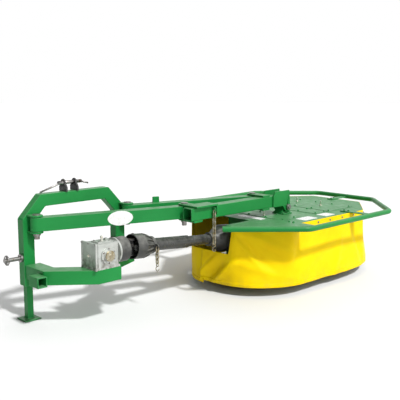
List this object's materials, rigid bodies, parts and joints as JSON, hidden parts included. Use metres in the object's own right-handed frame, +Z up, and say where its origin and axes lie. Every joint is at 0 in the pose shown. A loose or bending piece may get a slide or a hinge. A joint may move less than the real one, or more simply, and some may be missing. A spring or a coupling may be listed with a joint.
{
  "type": "rear-mounted drum mower",
  "caption": "Rear-mounted rotary drum mower: hitch mast with gearbox and drive shaft, swing-back parallel arms and a skirted deck with knife drums inside a tubular guard.",
  "frame": {"origin": "ground level at the middle of the machine's box", "axes": "+X sideways from the hitch to the mower's outer end, +Y forward to the tractor, +Z up"},
  "size_m": [3.3844, 1.512, 0.92],
  "materials": {
    "green_paint": "glossy green paint",
    "bare_steel": "turned, oiled",
    "chain_steel": "zinc plated",
    "knife_steel": "ground",
    "black_paint": "satin black",
    "cast_aluminium": "as cast",
    "black_plastic": "moulded",
    "yellow_cloth": "coated tarpaulin"
  },
  "bodies": {
    "headstock": {"mast_frame": "green_paint", "lower_beam": "green_paint", "socket_tube": "green_paint", "top_link_lugs": "black_paint", "lower_hitch_pins": "bare_steel", "pivot_brackets": "green_paint", "pivot_pins": "bare_steel", "gearbox_housing": "cast_aluminium", "gearbox_end_plate": "cast_aluminium", "gearbox_output_yoke": "black_paint", "shaft_shield": "black_plastic", "pto_input_stub": "bare_steel"},
    "parking_leg": {"parking_leg": "green_paint"},
    "main_arm": {"main_arm": "green_paint"},
    "stay_arm": {"stay_arm": "green_paint"},
    "carrier": {"carrier_beam": "green_paint", "carrier_clevises": "green_paint", "carrier_pins": "bare_steel", "hinge_clevis": "green_paint", "hinge_bolt": "bare_steel", "chain_lug": "green_paint", "carrier_chain": "chain_steel"},
    "mower": {"deck_plate": "green_paint", "skirt_rail": "green_paint", "deck_covers": "green_paint", "hinge_bracket": "green_paint", "guard_rail": "green_paint", "guard_brackets": "green_paint", "skirt": "yellow_cloth", "gear_case": "green_paint", "mower_input_stub": "bare_steel", "left_saucer": "black_paint", "right_saucer": "black_paint"},
    "drum_left": {"left_drum": "green_paint", "left_disc": "black_paint", "left_knives": "knife_steel"},
    "drum_right": {"right_drum": "green_paint", "right_disc": "black_paint", "right_knives": "knife_steel"},
    "shaft_cross": {"shaft_cross": "black_paint"},
    "shaft_outer": {"left_cone": "black_plastic", "outer_tube": "black_plastic", "cone_chain": "chain_steel"},
    "shaft_inner": {"inner_tube": "black_plastic", "right_bell": "black_plastic"}
  },
  "joints": [
    {"name": "arm_swing", "type": "hinge", "parent": "headstock", "child": "main_arm", "pos_m": [-0.75323, 0.26538, 0.654], "axis": [0, 0, -1], "range_deg": [0, 40]},
    {"name": "stay_swing", "type": "hinge", "parent": "headstock", "child": "stay_arm", "pos_m": [-1.49823, 0.26538, 0.654], "axis": [0, 0, -1], "range_deg": [0, 40]},
    {"name": "carrier_turn", "type": "hinge", "parent": "main_arm", "child": "carrier", "pos_m": [0.26523, -0.046, 0.654], "axis": [0, 0, -1], "range_deg": [-40, 0]},
    {"name": "deck_tilt", "type": "hinge", "parent": "carrier", "child": "mower", "pos_m": [0.52023, -0.151, 0.597], "axis": [0, 1, 0], "range_deg": [-10, 4]},
    {"name": "drum_left_spin", "type": "hinge", "parent": "mower", "child": "drum_left", "pos_m": [0.25123, 0, 0.06], "axis": [0, 0, 1], "continuous": true},
    {"name": "drum_right_spin", "type": "hinge", "parent": "mower", "child": "drum_right", "pos_m": [1.07123, 0, 0.06], "axis": [0, 0, 1], "continuous": true},
    {"name": "leg_slide", "type": "slide", "parent": "headstock", "child": "parking_leg", "axis": [0, 0, 1], "range_m": [0, 0.2]},
    {"name": "shaft_yaw", "type": "hinge", "parent": "headstock", "child": "shaft_cross", "pos_m": [-0.97323, -0.05762, 0.475], "axis": [0, 0, -1], "range_deg": [0, 48]},
    {"name": "shaft_pitch", "type": "hinge", "parent": "shaft_cross", "child": "shaft_outer", "pos_m": [-0.97323, -0.05762, 0.475], "axis": [0, 1, 0], "range_deg": [-3, 7]},
    {"name": "shaft_slide", "type": "slide", "parent": "shaft_outer", "child": "shaft_inner", "axis": [0.9969, 0, -0.0791], "range_m": [-0.19, 0]}
  ],
  "couplings": [
    {"joint": "stay_swing", "follows": "arm_swing", "ratio": 1},
    {"joint": "carrier_turn", "follows": "arm_swing", "ratio": -1},
    {"joint": "drum_right_spin", "follows": "drum_left_spin", "ratio": -1},
    {"joint": "shaft_yaw", "follows": "arm_swing", "ratio": 1.18},
    {"joint": "shaft_slide", "follows": "arm_swing", "m_per_rad": -0.2693},
    {"joint": "shaft_pitch", "follows": "deck_tilt", "ratio": -0.55}
  ]
}
